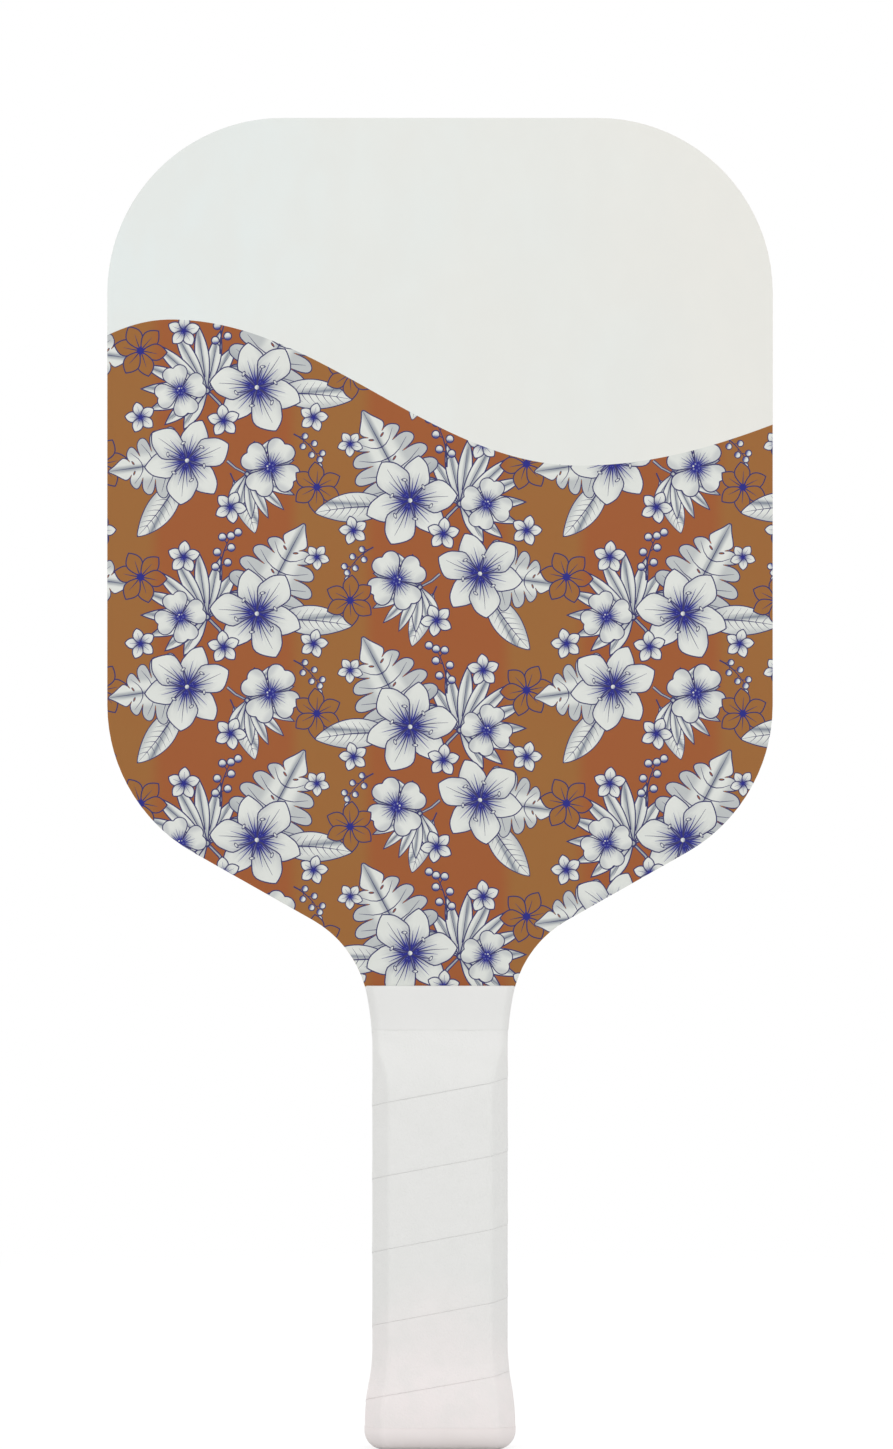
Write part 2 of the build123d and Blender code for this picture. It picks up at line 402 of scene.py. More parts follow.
def tape_material():
    """Thin brown double-sided cloth tape, woven both ways."""
    finish = Finish("base_tape")
    threads = {"Vector": finish.place, "Scale": 700.0}
    across = finish.node("ShaderNodeTexWave", "Fac", threads, bands_direction="Z")
    weave = across * finish.node("ShaderNodeTexWave", "Fac", threads, bands_direction="X")
    finish.set(
        Base_Color=weave.blend(srgb(196, 178, 140), srgb(214, 200, 168)),
        Roughness=weave.smooth(0.0, 1.0, 0.7, 0.85),
        Normal=finish.bumped(weave, 0.5, 0.05),
    )
    return finish.material


# Drawing


def turned(degrees):
    return cmath.rect(1, math.radians(degrees))


def sides(loop):
    """The directed sides of a closed loop of points or corner numbers."""
    return zip(loop, loop[1:] + loop[:1])


def bent(share, bend):
    """Point at a share of a unit line that leaves along +X and bends upwards."""
    return complex(share, bend * share * share)


def blade(length, half_width, bend, fullness, tip, ruffle=0.0):
    """Closed outline of a petal or leaf along +X, with its points closer towards the tip.

    Fullness moves its widest place, and tip blunts its ends.
    """
    steps = round(length * 0.5) + 6
    left, right = [], []
    for i in range(steps + 1):
        share = 1 - (1 - i / steps) ** TIP_CROWDING
        spine = length * bent(share, bend)
        normal = 1j * complex(1, 2 * bend * share)
        normal /= abs(normal)
        reach = half_width * math.sin(math.pi * share**fullness) ** tip if 0 < share < 1 else 0
        left.append(spine + normal * reach * (1 + ruffle * math.sin(11 * share)))
        right.append(spine - normal * reach * (1 + ruffle * math.sin(13 * share + 2)))
    return right + left[-2:0:-1]


def rounded(outline):
    """The same closed outline with its corners cut twice over, which smooths it."""
    for _ in range(2):
        cut = []
        for before, point in zip([outline[-1], *outline], outline):
            cut += [0.75 * before + 0.25 * point, 0.25 * before + 0.75 * point]
        outline = cut
    return outline


def grown(outline, distance):
    """The same closed outline, anticlockwise, moved outwards by a distance, with sharp tips kept short."""
    result = []
    for i, point in enumerate(outline):
        before = point - outline[i - 1]
        after = outline[(i + 1) % len(outline)] - point
        miter = -1j * (before / abs(before) + after / abs(after))
        if abs(miter) < LEAST_MITER:
            miter *= LEAST_MITER / max(abs(miter), 1e-6)
        result.append(point + distance * 2 * miter / abs(miter) ** 2)
    return result


def stroke(path, start, end):
    """Pen line along a path, with its width carried from start to end."""
    left, right = [], []
    last = len(path) - 1
    for i, point in enumerate(path):
        direction = path[min(i + 1, last)] - path[max(i - 1, 0)]
        half = 1j * direction / abs(direction) * (start + (end - start) * i / last) / 2
        left.append(point + half)
        right.append(point - half)
    return right + left[::-1]


def bent_path(start, length, angle, bend, first=0, points=5):
    """Points along a bent line from start, without those before first."""
    reach = turned(angle) * length
    return [start + reach * bent(i / (points - 1), bend) for i in range(first, points)]


def ring(centre, radius, points=12, squash=1.0, angle=0.0):
    corners = []
    for k in range(points):
        corner = turned(360 * k / points)
        corners.append(centre + turned(angle) * radius * complex(corner.real, squash * corner.imag))
    return corners


def star(outer, inner, points, angle):
    return [turned(angle + 180 * k / points) * (inner if k % 2 else outer) for k in range(2 * points)]


class Motif:
    """Shapes of one motif from the bottom one up. Each has an outline, an ink, and its own root and axis."""

    def __init__(self):
        self.shapes = []

    def add(self, outline, ink, root=0, axis=1):
        self.shapes.append((outline, ink, complex(root), complex(axis)))

    def draw(self, path, start, end, ink=LINE):
        """A pen line along a path, from one width to another."""
        self.add(stroke(path, start, end), ink)

    def inked(self, outline, ink, root=0, axis=1):
        """A filled shape with a drawn outline round it."""
        self.add(grown(outline, OUTLINE_WIDTH), LINE)
        self.add(outline, ink, root, axis)

    def placed(self, at, angle, scale, mirrored):
        """The shapes turned, scaled and moved to a place, mirrored left to right if wanted."""
        turn = turned(angle) * scale
        shapes = []
        for outline, ink, root, axis in self.shapes:
            points = [turn * point for point in outline]
            root, axis = turn * root, turn * axis
            if mirrored:
                points = [-point.conjugate() for point in reversed(points)]
                root, axis = -root.conjugate(), -axis.conjugate()
            shapes.append(([at + point for point in points], ink, at + root, axis))
        return shapes


def add_petal(motif, angle, length, half_width, bend, fullness, veins, ruffle=0.0):
    """One petal from the motif's middle, with navy veins fanning out from its root."""
    turn = turned(angle)
    outline = [turn * point for point in blade(length, half_width, bend, fullness, 0.8, ruffle)]
    motif.inked(outline, PETAL, 0, turn * length)
    spread = math.degrees(math.atan(1.3 * half_width / length))
    for k in range(veins):
        share = (2 * k + 1) / veins - 1
        reach = length * (0.72 - 0.3 * abs(share)) * (1.0 if k % 2 else 0.8)
        path = bent_path(0, reach, angle + share * spread, bend * 0.7 + 0.05 * share, first=1)
        motif.draw(path, 0.036 * length, 0.07, VEIN)


def lily():
    """Six-petalled lily 28 mm across, three petals over three, with long stamens."""
    m = Motif()
    for k in range(3):
        add_petal(m, 60 + 120 * k, 13.4, 3.9, 0.12, 1.25, 4, 0.07)
    for k in range(3):
        add_petal(m, 120 * k, 14.0, 4.6, -0.10, 1.3, 5, 0.07)
        m.draw(bent_path(0, 11.5, 120 * k, -0.10), 0.42, 0.08)
    m.add(star(2.7, 1.0, 6, 0), VEIN)
    for k in range(6):
        angle = 22 + 60 * k
        path = bent_path(0, 5.6 + 0.7 * (k % 2), angle, 0.2)
        m.draw(path, 0.42, 0.3)
        m.add(ring(path[-1], 1.0, 8, 0.5, angle + 80), LINE)
        m.add(ring(path[-1], 0.64, 8, 0.5, angle + 80), PETAL, path[-1] - 1, 2)
    m.add(ring(0, 0.7, 8), PETAL, -1, 2)
    return m


def dogwood():
    """Four broad notched bracts, 18 mm across, round a button of florets."""
    m = Motif()
    lower_half = (0, 2.2 - 1.7j, 5.2 - 4.3j, 7.6 - 4.3j, 8.9 - 2.6j, 8.8 - 0.9j)
    upper_half = [complex(point).conjugate() for point in lower_half[:0:-1]]
    for k in range(4):
        angle = 90 * k + 12
        outline = rounded([turned(angle) * point for point in (*lower_half, 8.1, *upper_half)])
        m.inked(outline, PETAL, 0, turned(angle) * 9)
        for lean in (-26, -13, 0, 13, 26):
            path = bent_path(0, 5.4 if lean == 0 else 4.6, angle + lean, 0.002 * lean, first=1)
            m.draw(path, 0.32, 0.06, VEIN)
    m.add(star(2.1, 1.1, 8, 0), VEIN)
    for k in range(6):
        m.add(ring(turned(60 * k) * 0.95, 0.32, 6), PETAL, 0, 2)
    return m


def starlet():
    """Small five-petalled blossom, 10 mm across."""
    m = Motif()
    for k in range(5):
        add_petal(m, 72 * k, 5.0, 1.6, 0.05, 1.2, 3)
    m.add(star(1.25, 0.5, 5, 36), VEIN)
    return m


def line_flower():
    """Six-petalled flower in line only, 17 mm across, with the ground showing through."""
    m = Motif()
    for k in range(6):
        outline = [turned(60 * k) * point for point in blade(8.4, 2.6, 0.08 * (-1) ** k, 1.25, 0.9)]
        m.add(grown(outline, 0.2), LINE)
        m.add(grown(outline, -0.2), GROUND)
        m.draw(bent_path(0, 5.5, 60 * k, 0.05), 0.5, 0.08)
    m.add(star(2.0, 0.9, 6, 30), VEIN)
    return m


def split_leaf():
    """Heart-shaped leaf 30 mm long, cut between its lobes, with holes beside the midrib."""
    m = Motif()
    length = 27.0
    lobes = (
        (-0.17 + 0.16j, -0.17 + 0.36j, -0.03 + 0.44j, 0.08 + 0.15j),
        (0.09 + 0.43j, 0.17 + 0.51j, 0.27 + 0.44j, 0.29 + 0.15j),
        (0.32 + 0.43j, 0.40 + 0.48j, 0.48 + 0.38j, 0.46 + 0.13j),
        (0.52 + 0.37j, 0.60 + 0.40j, 0.67 + 0.30j, 0.62 + 0.10j),
        (0.71 + 0.28j, 0.77 + 0.29j, 0.83 + 0.18j, 0.77 + 0.06j),
    )
    upper = [0.05 + 0.03j, -0.08 + 0.08j, *(point for lobe in lobes for point in lobe)]
    upper += [0.86 + 0.16j, 0.93 + 0.12j, 1.02 + 0.05j]
    lower = [point.conjugate() for point in upper]
    m.inked(rounded([length * point for point in (*lower, 1.12, *reversed(upper))]), LEAF, 0, length)
    m.draw([-5 - 1.4j, -2 - 0.4j, 2 + 0j, 15 + 0j, 1.08 * length + 0j], 0.85, 0.08)
    for k, lobe in enumerate(lobes):
        root = complex(length * (0.02 + 0.15 * k))
        tip = length * (0.1 * lobe[0] + 0.45 * lobe[1] + 0.45 * lobe[2])
        for end in (tip, tip.conjugate()):
            middle = 0.5 * (root + end) - 1
            path = [root, 0.5 * (root + middle) - 0.3, middle]
            m.draw([*path, 0.5 * (middle + end), 0.2 * middle + 0.8 * end], 0.4, 0.08)
        for side in (1, -1) if k % 2 == 0 else ():
            hole = length * complex(0.13 + 0.155 * k, 0.07 * side)
            m.add(ring(hole, 0.95, 10, 0.4, side * 62), LINE)
            m.add(ring(hole, 0.62, 10, 0.3, side * 62), GROUND)
    return m


def fan_leaf():
    """Fan palm leaf: eleven pointed blades round a short stalk, 20 mm in radius."""
    m = Motif()
    stalk = [-9 - 1.5j, -5 - 0.3j, 0j]
    m.draw(stalk, 1.3, 1.0)
    m.add(stroke(stalk, 0.6, 0.4), LEAF, 0, 10)
    for k in sorted(range(-5, 6), key=abs, reverse=True):
        angle = 19.5 * k
        length = 19.5 - 0.28 * k * k
        bend = 0.012 * k
        outline = [turned(angle) * point for point in blade(length, 1.8, bend, 1.15, 0.9)]
        m.inked(outline, LEAF, 0, turned(angle) * length)
        m.draw(bent_path(0, length * 0.86, angle, bend, first=1), 0.3, 0.07)
    m.add(ring(0, 1.1, 8), LINE)
    m.add(ring(0, 0.6, 8), LEAF, 0, 1)
    return m


def long_leaf():
    """Long leaf of 27 mm with close side veins."""
    m = Motif()
    length, bend = 27.0, 0.14
    m.inked(blade(length, 5.0, bend, 1.0, 0.8), LEAF, 0, length)
    m.draw([-4 - 0.4j, *(length * bent(i / 8, bend) for i in range(9))], 0.75, 0.08)
    for k in range(9):
        share = 0.09 + 0.09 * k
        root = length * bent(share, bend)
        reach = 4.7 * math.sin(math.pi * share) ** 0.8
        for side in (1, -1):
            path = [root, root + complex(1.0, 0.42 * side * reach), root + complex(2.6, 0.86 * side * reach)]
            m.draw(path, 0.26, 0.06)
    return m


def sprig():
    """Curved twig with round buds."""
    m = Motif()
    path = bent_path(0, 13, 0, 0.35, points=7)
    m.draw(path, 0.6, 0.25)
    buds = [path[-1]]
    for k, point in enumerate(path[1:]):
        buds.append(point + turned(20 + (50 if k % 2 else -50)) * 2.4)
        m.draw([point, buds[-1]], 0.35, 0.25)
    for bud in buds:
        m.inked(ring(bud, 1.0), PETAL, bud - 1, 2)
    return m


# Each motif's place in a bouquet, in mm from its middle, its turn in degrees and its scale
BOUQUET = (
    (fan_leaf, 6 + 9j, 42, 1.05),
    (split_leaf, -10 + 12j, 118, 0.95),
    (long_leaf, -14 + 8j, 176, 0.86),
    (long_leaf, 14 - 17j, -62, 0.8),
    (long_leaf, -2 - 18j, 240, 0.62),
    (split_leaf, 12 - 12j, -8, 0.8),
    (fan_leaf, -6 - 16j, 204, 0.78),
    (sprig, 2 + 20j, 84, 1.0),
    (sprig, -20 - 4j, 205, 0.8),
    (lily, -9 + 10j, 12, 1.0),
    (lily, 12 - 12j, 44, 0.94),
    (dogwood, -13 - 14j, 20, 0.98),
    (dogwood, 14 + 9j, 60, 0.84),
    (starlet, 1 + 0j, 10, 0.95),
    (starlet, -1 - 26j, 40, 0.95),
    (starlet, 26 + 1j, 0, 0.9),
    (starlet, -26 + 1j, 30, 0.85),
    (line_flower, 26 + 21j, 8, 0.95),
    (line_flower, -27 - 20j, 30, 0.9),
    (starlet, 13 + 27j, 20, 0.95),
    (starlet, -27 + 27j, 50, 0.75),
)


def bouquets(low, high):
    """Every shape of the repeat between two corners. Each second column is mirrored, half a tile up."""
    drawn = [(make(), at, angle, scale) for make, at, angle, scale in BOUQUET]
    shapes = []
    for column in range(math.floor(low.real / TILE_WIDTH), math.ceil(high.real / TILE_WIDTH) + 1):
        mirrored = column % 2 == 1
        for row in range(-1, math.ceil((high.imag - low.imag) / TILE_HEIGHT) + 1):
            centre = complex(column * TILE_WIDTH, low.imag + (row + 0.5 * mirrored) * TILE_HEIGHT)
            for motif, at, angle, scale in drawn:
                spot = -at.conjugate() if mirrored else at
                shapes += motif.placed(centre + spot, angle, scale, mirrored)
    return [shape for shape in shapes if meets(shape[0], low, high)]


def meets(outline, low, high):
    """Whether an outline's box reaches into the box between two corners."""
    across = [point.real for point in outline]
    up = [point.imag for point in outline]
    return max(across) > low.real and min(across) < high.real and max(up) > low.imag and min(up) < high.imag


def wave_height(x, top):
    """Height of the print's upper edge: half cosine waves to the left of, between and past its two turns."""
    crest, trough = top - CREST_BELOW_TOP, top - TROUGH_BELOW_TOP
    if x < CREST_X:
        phase = (CREST_X - x) / LEFT_HALF_WAVE
    elif x < TROUGH_X:
        phase = (x - CREST_X) / (TROUGH_X - CREST_X)
    else:
        phase = 1 + (x - TROUGH_X) / RIGHT_HALF_WAVE
    return (crest + trough) / 2 + (crest - trough) / 2 * math.cos(math.pi * phase)


def face_outline(node, y):
    """Outline of a CAD node's flat face at that y in metres, in mm, anticlockwise seen from -Y."""
    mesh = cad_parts[node].data
    edges = {}
    for polygon in mesh.polygons:
        corners = [mesh.vertices[i].co for i in polygon.vertices]
        if all(abs(c.y - y) < FLAT_WITHIN * MM for c in corners) and polygon.normal.y < -0.5:
            loop = [complex(round(c.x / MM, DECIMALS), round(c.z / MM, DECIMALS)) for c in corners]
            edges.update(dict.fromkeys(sides(loop)))
    follow = {a: b for a, b in edges if (b, a) not in edges}
    outline = [next(iter(follow))]
    while follow[outline[-1]] != outline[0]:
        outline.append(follow[outline[-1]])
    return outline


def widened(outline, distance):
    """The outline moved outwards, except at the film's lower end, which stays on the finishing tape."""
    floor = min(point.imag for point in outline)
    return [complex(point.real, max(point.imag, floor)) for point in grown(outline, distance)]


def printed_region(film, top):
    """The film's outline with its upper part cut off along the wave."""
    under = [point for point in film if point.imag < wave_height(point.real, top)]
    right = max(under, key=lambda point: (point.real, point.imag))
    left = min(under, key=lambda point: (point.real, -point.imag))
    start = under.index(left)
    under = under[start:] + under[:start]
    if under[-1] != right:
        raise ValueError("the film's outline crosses the wave more than twice")
    side = right.real
    steps = round(2 * side / WAVE_STEP)
    wave = [side - 2 * side * i / steps for i in range(steps + 1)]
    return under + [complex(x, wave_height(x, top)) for x in wave]


# Partition of the printed region into inks


def triangulated(points, edges, faces, kind):
    """Constrained triangulation: points, triangles as indices, and each triangle's input faces."""
    flat = [Vector((point.real, point.imag)) for point in points]
    made = delaunay_2d_cdt(flat, edges, faces, kind, SAME_POINT)
    places = [complex(point.x, point.y) for point in made[0]]
    return places, made[2], made[5]


def inked_triangles(region, shapes):
    """Cut the region by every shape. Each triangle takes the topmost shape on it, or the ground."""
    points, faces = [], []
    for outline in [region] + [shape[0] for shape in shapes]:
        faces.append(list(range(len(points), len(points) + len(outline))))
        points += outline
    places, triangles, sources = triangulated(points, [], faces, 1)
    kept, owners = [], []
    for triangle, source in zip(triangles, sources):
        if 0 in source:
            kept.append(triangle)
            owners.append(max(source))
    return places, kept, owners


def simplified(places, triangles, owners, key):
    """The same partition without the hidden shapes' edges: only lines between different keys stay."""
    beside = {}
    for triangle, owner in zip(triangles, owners):
        beside.update(dict.fromkeys(sides(triangle), owner))
    limits = {}
    for (a, b), owner in beside.items():
        other = beside.get((b, a))
        if other is None or key(other) != key(owner):
            limits[a, b] = owner
    used = sorted({i for edge in limits for i in edge})
    number = {old: new for new, old in enumerate(used)}
    edges = [(number[a], number[b]) for a, b in limits if (b, a) not in limits or a < b]
    points = [places[i] for i in used]
    flat, faces, _ = triangulated(points, edges, [], 0)
    if len(flat) != len(points):
        raise ValueError(f"the partition's points changed from {len(points)} to {len(flat)}")
    known = {(number[a], number[b]): owner for (a, b), owner in limits.items()}
    return flat, *labelled(faces, known)


def labelled(triangles, known):
    """Spread each limit's owner over the triangles on its left, and drop those outside the region."""
    beside = {}
    for index, triangle in enumerate(triangles):
        beside.update(dict.fromkeys(sides(triangle), index))
    owner = {beside[edge]: name for edge, name in known.items() if edge in beside}
    waiting = list(owner)
    while waiting:
        index = waiting.pop()
        for a, b in sides(triangles[index]):
            other = beside.get((b, a))
            if (a, b) in known or (b, a) in known or other is None or other in owner:
                continue
            owner[other] = owner[index]
            waiting.append(other)
    kept = sorted(owner)
    return [triangles[i] for i in kept], [owner[i] for i in kept]


def fans(triangles, members):
    """The member triangles in groups that join along their sides."""
    found, left = [], list(members)
    while left:
        fan = [left.pop(0)]
        for index in fan:
            corners = set(triangles[index])
            joined = [other for other in left if len(corners & set(triangles[other])) == 2]
            left = [other for other in left if other not in joined]
            fan += joined
        found.append(fan)
    return found


def parted(places, triangles):
    """The same triangles, but two fans of them that only touch at a point each get a corner of their own.

    Such a corner lies a little inside its fan, so that the walls of a sheet never meet along one edge.
    """
    around = {}
    for index, triangle in enumerate(triangles):
        for corner in triangle:
            around.setdefault(corner, []).append(index)
    places, triangles = list(places), [list(triangle) for triangle in triangles]
    for corner, members in around.items():
        found = fans(triangles, members)
        for fan in found if len(found) > 1 else ():
            middle = sum(places[v] for index in fan for v in triangles[index]) / (3 * len(fan))
            inwards = middle - places[corner]
            for index in fan:
                triangles[index][triangles[index].index(corner)] = len(places)
            places.append(places[corner] + inwards * min(0.2, CORNER_GAP / abs(inwards)))
    return places, triangles


# Pieces


def linked(name, data):
    """A new object in the scene."""
    thing = bpy.data.objects.new(name, data)
    bpy.context.scene.collection.objects.link(thing)
    return thing


def shown(name, mesh):
    """Link a finished mesh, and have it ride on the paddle's one body."""
    mesh.update()
    piece = linked(name, mesh)
    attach(piece, BODY)
    return piece


def turned_round(piece, name):
    """Copy of a piece turned half a turn about the paddle's long axis."""
    mesh = piece.data.copy()
    place = np.empty(len(mesh.vertices) * 3, np.float32)
    mesh.vertices.foreach_get("co", place)
    place = place.reshape(-1, 3)
    place[:, :2] *= -1
    mesh.vertices.foreach_set("co", place.ravel())
    return shown(name, mesh)


def tube_cells(rows, columns):
    """Each cell of a tube of rings: two corners that follow each other, and the two above them."""
    for row in range(rows):
        for column in range(columns):
            after = (column + 1) % columns
            here, above = row * columns, (row + 1) * columns
            yield here + column, here + after, above + after, above + column


def lofted(name, rings, material, node):
    """A piece in a CAD node's place: a closed skin through rings of points.

    The rings run anticlockwise seen from the side they start on.
    """
    columns = len(rings[0])
    vertices = [point for ring_points in rings for point in ring_points]
    faces = [(a, d, c, b) for a, b, c, d in tube_cells(len(rings) - 1, columns)]
    faces.append(tuple(range(columns)))
    faces.append(tuple(reversed(range(len(vertices) - columns, len(vertices)))))
    mesh = bpy.data.meshes.new(name)
    mesh.from_pydata(vertices, [], faces)
    mesh.materials.append(material)
    mesh.shade_smooth()
    mesh.set_sharp_from_angle(angle=math.radians(SHARP_FROM))
    piece = shown(name, mesh)
    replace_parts(piece, node)
    return piece


def add_map(mesh, name, places):
    """One UV map, given as a complex place for each corner of each face."""
    values = [part for place in places for part in (place.real, place.imag)]
    mesh.uv_layers.new(name=name).uv.foreach_set("vector", values)


def sheet_faces(triangles, count):
    """Faces of a closed sheet, and the triangle that each belongs to.

    Triangles number the outer skin's corners, and the inner skin's come count further on.
    """
    faces, wearer, edges = [], [], {}
    for index, (a, b, c) in enumerate(triangles):
        faces += [(a, b, c), (c + count, b + count, a + count)]
        wearer += [index, index]
        edges.update(dict.fromkeys(((a, b), (b, c), (c, a)), index))
    for (a, b), index in edges.items():
        if (b, a) not in edges:
            faces.append((a, a + count, b + count, b))
            wearer.append(index)
    return faces, wearer


def ink_piece(name, ink, parts, shapes, material, depth):
    """Thin closed solid of one ink. Depth is the y of the surface that it lies on, in mm.

    The map bloom runs across and along each shape, and OFBake lies flat on the face.
    """
    places, triangles, owners = parts
    worn = [(0, GROUND, 0, 1), *shapes]
    chosen = [i for i, owner in enumerate(owners) if worn[owner][1] == ink]
    places, triangles = parted(places, [triangles[i] for i in chosen])
    used = sorted({v for triangle in triangles for v in triangle})
    number = {old: new for new, old in enumerate(used)}
    renumbered = [[number[v] for v in triangle] for triangle in triangles]
    faces, wearer = sheet_faces(renumbered, len(used))
    flat = [places[v] for v in used]
    vertices = []
    for y in (depth - INK_THICKNESS, depth):
        vertices += [(point.real * MM, y * MM, point.imag * MM) for point in flat]
    mesh = bpy.data.meshes.new(name)
    mesh.from_pydata(vertices, [], faces)
    mesh.materials.append(material)
    low = complex(min(point.real for point in flat), min(point.imag for point in flat))
    size = max(point.real - low.real for point in flat)
    bloom_places, bake_places = [], []
    for face, index in zip(faces, wearer):
        _, _, root, axis = worn[owners[chosen[index]]]
        for point in (flat[v % len(flat)] for v in face):
            at = (point - root) / axis
            bloom_places.append(complex(0.5 + at.imag, at.real))
            bake_places.append((point - low) / size)
    add_map(mesh, "bloom", bloom_places)
    add_map(mesh, "OFBake", bake_places)
    return shown(name, mesh)


def face_film(film, outer, inner, material):
    """White film over the whole of each face and its softened edge, between two heights in metres."""
    rings = []
    for y in (outer, inner):
        rings.append([(point.real * MM, y, point.imag * MM) for point in film])
    front = lofted("front_film", rings, material, "front_print_film")
    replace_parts(turned_round(front, "rear_film"), "rear_print_film")


def print_faces():
    """Film and inks of the front face, and the same turned round for the rear one."""
    low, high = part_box("front_print_film")
    film = widened(face_outline("front_print_film", low.y), FILM_OVERHANG)
    face_film(film, low.y, high.y, film_material())
    region = printed_region(film, high.z / MM)
    corner = complex(low.x / MM, low.z / MM)
    shapes = bouquets(corner, complex(high.x / MM, high.z / MM - CREST_BELOW_TOP))

    def key(owner):
        """Inks that meet stay apart, and so do two petals or two leaves."""
        ink = shapes[owner - 1][1] if owner else GROUND
        return (ink, owner) if ink in (PETAL, LEAF) else (ink, 0)

    parts = simplified(*inked_triangles(region, shapes), key)
    inks = (
        ("ground", GROUND, ground_material()),
        ("petals", PETAL, petal_material()),
        ("leaves", LEAF, leaf_material()),
        ("lines", LINE, line_material("line_ink", srgb(52, 50, 98))),
        ("veins", VEIN, line_material("vein_ink", srgb(34, 36, 130))),
    )
    for name, ink, material in inks:
        front = ink_piece(f"front_print_{name}", ink, parts, shapes, material, low.y / MM)
        turned_round(front, f"rear_print_{name}")


# Handle form


def reach_at(corners, height):
    """How far a closed form reaches to the side, to the front and across its bevels at one height, in mm."""
    found = []
    for a, b in ((0, 1), (1, 2), (2, 0)):
        first, last = corners[:, a], corners[:, b]
        crosses = (first[:, 2] - height) * (last[:, 2] - height) < 0
        first, last = first[crosses], last[crosses]
        share = (height - first[:, 2]) / (last[:, 2] - first[:, 2])
        found.append(first + (last - first) * share[:, None])
    found = np.abs(np.concatenate(found))
    return found[:, 0].max(), found[:, 1].max(), (found[:, 0] + found[:, 1]).max() / math.sqrt(2)


def form_corners(*nodes):
    """Corners of every triangle of some CAD nodes, in mm."""
    found = []
    for node in nodes:
        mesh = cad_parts[node].data
        mesh.calc_loop_triangles()
        for triangle in mesh.loop_triangles:
            found.append([mesh.vertices[i].co / MM for i in triangle.vertices])
    return np.array(found)


def quadrant(side, front, bevel, radius):
    """Rounded bevelled corner from the side face to the front one: points and outward directions."""
    inner_side, inner_front = side - radius, front - radius
    reach = math.sqrt(2) * (bevel - radius)
    corners = (
        (complex(inner_side, min(inner_front, reach - inner_side)), 0),
        (complex(min(inner_side, reach - inner_front), inner_front), 45),
    )
    found = []
    for centre, start in corners:
        for k in range(CORNER_STEPS + 1):
            outward = turned(start + 45 * k / CORNER_STEPS)
            found.append((centre + radius * outward, outward))
    return found


def section(side, front, bevel, radius):
    """Whole rounded section, anticlockwise seen from above, starting on the +X face."""
    first = quadrant(side, front, bevel, radius)
    second = [(-p.conjugate(), -n.conjugate()) for p, n in reversed(first)]
    third = [(-p, -n) for p, n in first]
    fourth = [(p.conjugate(), n.conjugate()) for p, n in reversed(first)]
    return first + second + third + fourth


def refined(ring_points, parts):
    """Divide each side of a closed ring into its number of parts."""
    found = []
    for ((point, outward), (after, turned_to)), count in zip(sides(ring_points), parts):
        for k in range(count):
            share = k / count
            found.append((point + (after - point) * share, outward + (turned_to - outward) * share))
    return found


class GripForm:
    """Outer form of the handle, read from the CAD nodes: rings of points that all have the same columns."""

    def __init__(self):
        low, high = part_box("grip_wrap")
        self.bottom, self.top = low.z / MM, high.z / MM
        self.height = self.top - self.bottom
        self.corners = form_corners("grip_wrap", "finishing_tape", "butt_cap")
        self.parts = [1] * (8 * (CORNER_STEPS + 1))
        self.parts = [max(1, round(length / FLAT_STEP)) for length in self.lengths()]
        steps = self.lengths()
        self.columns = len(steps)
        self.shares = [sum(steps[:i]) / sum(steps) for i in range(self.columns + 1)]

    def ring(self, height, inset=0.0):
        """Points and outward directions round the handle at one height, that far inside its surface."""
        inside = min(max(height, SLICE_MARGIN), self.top - SLICE_MARGIN)
        return self.fitted(*reach_at(self.corners, inside), SLEEVE_CORNER, LEAST_BEVEL, inset)

    def fitted(self, side, front, bevel, corner, least_bevel, inset=0.0):
        """A ring with the form's columns and sizes of its own. Its bevel stays, so that no columns meet."""
        square = (side + front - 2 * corner - least_bevel) / math.sqrt(2) + corner
        found = refined(section(side, front, min(bevel, square), corner), self.parts)
        return [(point - inset * outward / abs(outward), outward / abs(outward)) for point, outward in found]

    def lengths(self):
        """Lengths of the sides of the ring halfway up."""
        points = [point for point, _ in self.ring((self.bottom + self.top) / 2)]
        return [abs(after - point) for point, after in sides(points)]


def level(point, height):
    """A place in metres, from its place seen from above and its height in mm."""
    return point.real * MM, point.imag * MM, height * MM


def sleeve_mesh(form):
    """The grip's outer form as a tube. Its map wrap runs round and up, and outward holds each normal."""
    rows = round(form.height / SLEEVE_STEP)
    vertices, outwards, wrap = [], [], []
    for row in range(rows + 1):
        height = form.bottom + form.height * row / rows
        for point, outward in form.ring(height):
            vertices.append(level(point, height))
            outwards += [outward.real, outward.imag, 0.0]
    for row in range(rows):
        low, high = row / rows, (row + 1) / rows
        for left, right in zip(form.shares, form.shares[1:]):
            wrap += [complex(left, low), complex(right, low), complex(right, high), complex(left, high)]
    mesh = bpy.data.meshes.new("grip_form")
    mesh.from_pydata(vertices, [], list(tube_cells(rows, form.columns)))
    add_map(mesh, "wrap", wrap)
    mesh.attributes.new("outward", "FLOAT_VECTOR", "POINT").data.foreach_set("vector", outwards)
    starts = form.shares[:-1] * (rows + 1)
    mesh.attributes.new("around", "FLOAT", "POINT").data.foreach_set("value", starts)
    return mesh


# Grip strip


def named_inputs(tree, sizes):
    """Inputs of a Geometry Nodes group: a form, each size with its value, and a material."""
    tree.interface.new_socket("Form", in_out="INPUT", socket_type="NodeSocketGeometry")
    for name, value in sizes.items():
        kind = "NodeSocketInt" if isinstance(value, int) else "NodeSocketFloat"
        tree.interface.new_socket(name, in_out="INPUT", socket_type=kind).default_value = value
    tree.interface.new_socket("Material", in_out="INPUT", socket_type="NodeSocketMaterial")
    return {output.name: Value(output) for output in add_node(tree, "NodeGroupInput").outputs}


def attribute(tree, name, kind):
    """A named attribute of the geometry that reads it."""
    return one_output(tree, "GeometryNodeInputNamedAttribute", "Attribute", {"Name": name}, data_type=kind)


